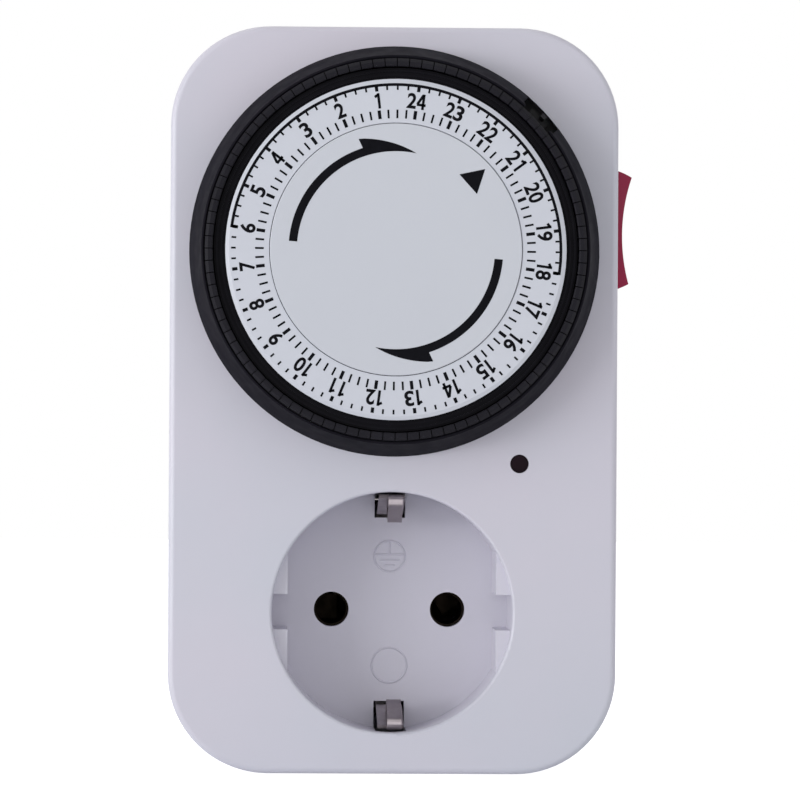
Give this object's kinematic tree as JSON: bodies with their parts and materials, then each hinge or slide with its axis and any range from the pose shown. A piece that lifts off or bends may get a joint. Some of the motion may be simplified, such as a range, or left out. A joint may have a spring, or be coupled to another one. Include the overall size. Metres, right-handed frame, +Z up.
{
  "type": "plug-in timer switch",
  "caption": "Flat plug-in mains timer with a daily dial of push-in segments, an earthed outlet, a side rocker, a lamp and a round plug.",
  "frame": {"origin": "centre of the plug's end face, on the common axis of the plug and the outlet", "axes": "+Z up along the housing, +Y along the plug's pins away from the housing, the dial and the outlet face -Y, +X to the right of a viewer in front of the dial"},
  "size_m": [0.0748, 0.0839, 0.12],
  "materials": {
    "shell": "fine satin",
    "shell_insert": "satin",
    "bezel_black": "semi-gloss",
    "dial_black": "satin",
    "segment_black": "semi-gloss",
    "hour_white": "satin",
    "disc_white": "satin",
    "plate_grey": "matt",
    "gear_white": "satin",
    "rotor_grey": "matt",
    "plunger_grey": "satin",
    "rocker_red": "satin",
    "steel": "drawn",
    "nickel": "bright",
    "brass": "bright",
    "winding": "lacquered wire",
    "lens_maroon": "clear",
    "lamp_glass": "clear"
  },
  "bodies": {
    "housing": {"front_cover": "shell", "rear_cover": "shell", "outlet_insert": "shell_insert", "outlet_floor": "shell_insert", "plug_body": "shell", "dial_bezel": "bezel_black", "centre_disc": "disc_white", "mechanism_plate": "plate_grey", "motor_can": "steel", "motor_coil": "winding", "motor_cover": "steel", "switch_base": "plate_grey", "rocker_carrier": "plate_grey", "earth_strip_top": "nickel", "earth_strip_bottom": "nickel", "earth_bridge": "nickel", "plug_pin_left": "nickel", "plug_pin_right": "nickel", "sleeve_left": "brass", "sleeve_right": "brass", "neutral_strap": "brass", "live_in_strap": "brass", "live_out_strap": "brass", "lamp_lens": "lens_maroon", "neon_lamp": "lamp_glass", "cover_screws": "steel", "plate_screws": "steel", "motor_screws": "steel"},
    "dial": {"dial_wheel": "dial_black", "hour_ring": "hour_white"},
    "drive": {"drive_gear": "gear_white"},
    "rotor": {"motor_rotor": "rotor_grey"},
    "plunger": {"plunger": "plunger_grey"},
    "leaf": {"contact_leaf": "brass"},
    "rocker": {"rocker": "rocker_red"},
    "body_seg_00": {"seg_00": "segment_black"},
    "body_seg_01": {"seg_01": "segment_black"},
    "body_seg_02": {"seg_02": "segment_black"},
    "body_seg_03": {"seg_03": "segment_black"},
    "body_seg_04": {"seg_04": "segment_black"},
    "body_seg_05": {"seg_05": "segment_black"},
    "body_seg_06": {"seg_06": "segment_black"},
    "body_seg_07": {"seg_07": "segment_black"},
    "body_seg_08": {"seg_08": "segment_black"},
    "body_seg_09": {"seg_09": "segment_black"},
    "body_seg_10": {"seg_10": "segment_black"},
    "body_seg_11": {"seg_11": "segment_black"},
    "body_seg_12": {"seg_12": "segment_black"},
    "body_seg_13": {"seg_13": "segment_black"},
    "body_seg_14": {"seg_14": "segment_black"},
    "body_seg_15": {"seg_15": "segment_black"},
    "body_seg_16": {"seg_16": "segment_black"},
    "body_seg_17": {"seg_17": "segment_black"},
    "body_seg_18": {"seg_18": "segment_black"},
    "body_seg_19": {"seg_19": "segment_black"},
    "body_seg_20": {"seg_20": "segment_black"},
    "body_seg_21": {"seg_21": "segment_black"},
    "body_seg_22": {"seg_22": "segment_black"},
    "body_seg_23": {"seg_23": "segment_black"}
  },
  "joints": [
    {"name": "dial_turn", "type": "hinge", "parent": "housing", "child": "dial", "pos_m": [0, -0.06, 0.058], "axis": [0, 1, 0], "continuous": true},
    {"name": "drive_turn", "type": "hinge", "parent": "housing", "child": "drive", "pos_m": [-0.0152, -0.046, 0.03167], "axis": [0, 1, 0], "continuous": true},
    {"name": "motor_turn", "type": "hinge", "parent": "housing", "child": "rotor", "pos_m": [-0.00459, -0.04, 0.04228], "axis": [0, 1, 0], "continuous": true},
    {"name": "plunger_press", "type": "slide", "parent": "housing", "child": "plunger", "axis": [0, 1, 0], "range_m": [0, 0.0014], "stiffness_N_per_m": 300, "springref_m": -0.0003},
    {"name": "leaf_bend", "type": "hinge", "parent": "housing", "child": "leaf", "pos_m": [0.01165, -0.0399, 0.06896], "axis": [-0.6852, 0, 0.7284], "range_deg": [0, 5.5]},
    {"name": "rocker_tip", "type": "hinge", "parent": "housing", "child": "rocker", "pos_m": [0.0334, -0.0406, 0.0621], "axis": [0, -1, 0], "range_deg": [0, 7]},
    {"name": "push_seg_00", "type": "slide", "parent": "dial", "child": "body_seg_00", "axis": [0, 1, 0], "range_m": [0, 0.003]},
    {"name": "push_seg_01", "type": "slide", "parent": "dial", "child": "body_seg_01", "axis": [0, 1, 0], "range_m": [0, 0.003]},
    {"name": "push_seg_02", "type": "slide", "parent": "dial", "child": "body_seg_02", "axis": [0, 1, 0], "range_m": [0, 0.003]},
    {"name": "push_seg_03", "type": "slide", "parent": "dial", "child": "body_seg_03", "axis": [0, 1, 0], "range_m": [0, 0.003]},
    {"name": "push_seg_04", "type": "slide", "parent": "dial", "child": "body_seg_04", "axis": [0, 1, 0], "range_m": [0, 0.003]},
    {"name": "push_seg_05", "type": "slide", "parent": "dial", "child": "body_seg_05", "axis": [0, 1, 0], "range_m": [0, 0.003]},
    {"name": "push_seg_06", "type": "slide", "parent": "dial", "child": "body_seg_06", "axis": [0, 1, 0], "range_m": [0, 0.003]},
    {"name": "push_seg_07", "type": "slide", "parent": "dial", "child": "body_seg_07", "axis": [0, 1, 0], "range_m": [0, 0.003]},
    {"name": "push_seg_08", "type": "slide", "parent": "dial", "child": "body_seg_08", "axis": [0, 1, 0], "range_m": [0, 0.003]},
    {"name": "push_seg_09", "type": "slide", "parent": "dial", "child": "body_seg_09", "axis": [0, 1, 0], "range_m": [0, 0.003]},
    {"name": "push_seg_10", "type": "slide", "parent": "dial", "child": "body_seg_10", "axis": [0, 1, 0], "range_m": [0, 0.003]},
    {"name": "push_seg_11", "type": "slide", "parent": "dial", "child": "body_seg_11", "axis": [0, 1, 0], "range_m": [0, 0.003]},
    {"name": "push_seg_12", "type": "slide", "parent": "dial", "child": "body_seg_12", "axis": [0, 1, 0], "range_m": [0, 0.003]},
    {"name": "push_seg_13", "type": "slide", "parent": "dial", "child": "body_seg_13", "axis": [0, 1, 0], "range_m": [0, 0.003]},
    {"name": "push_seg_14", "type": "slide", "parent": "dial", "child": "body_seg_14", "axis": [0, 1, 0], "range_m": [0, 0.003]},
    {"name": "push_seg_15", "type": "slide", "parent": "dial", "child": "body_seg_15", "axis": [0, 1, 0], "range_m": [0, 0.003]},
    {"name": "push_seg_16", "type": "slide", "parent": "dial", "child": "body_seg_16", "axis": [0, 1, 0], "range_m": [0, 0.003]},
    {"name": "push_seg_17", "type": "slide", "parent": "dial", "child": "body_seg_17", "axis": [0, 1, 0], "range_m": [0, 0.003]},
    {"name": "push_seg_18", "type": "slide", "parent": "dial", "child": "body_seg_18", "axis": [0, 1, 0], "range_m": [0, 0.003]},
    {"name": "push_seg_19", "type": "slide", "parent": "dial", "child": "body_seg_19", "axis": [0, 1, 0], "range_m": [0, 0.003]},
    {"name": "push_seg_20", "type": "slide", "parent": "dial", "child": "body_seg_20", "axis": [0, 1, 0], "range_m": [0, 0.003]},
    {"name": "push_seg_21", "type": "slide", "parent": "dial", "child": "body_seg_21", "axis": [0, 1, 0], "range_m": [0, 0.003]},
    {"name": "push_seg_22", "type": "slide", "parent": "dial", "child": "body_seg_22", "axis": [0, 1, 0], "range_m": [0, 0.003]},
    {"name": "push_seg_23", "type": "slide", "parent": "dial", "child": "body_seg_23", "axis": [0, 1, 0], "range_m": [0, 0.003]}
  ],
  "couplings": [
    {"joint": "drive_turn", "follows": "dial_turn", "ratio": -5.3333},
    {"joint": "motor_turn", "follows": "dial_turn", "ratio": 21.333},
    {"joint": "leaf_bend", "follows": "plunger_press", "rad_per_m": 67.114}
  ]
}
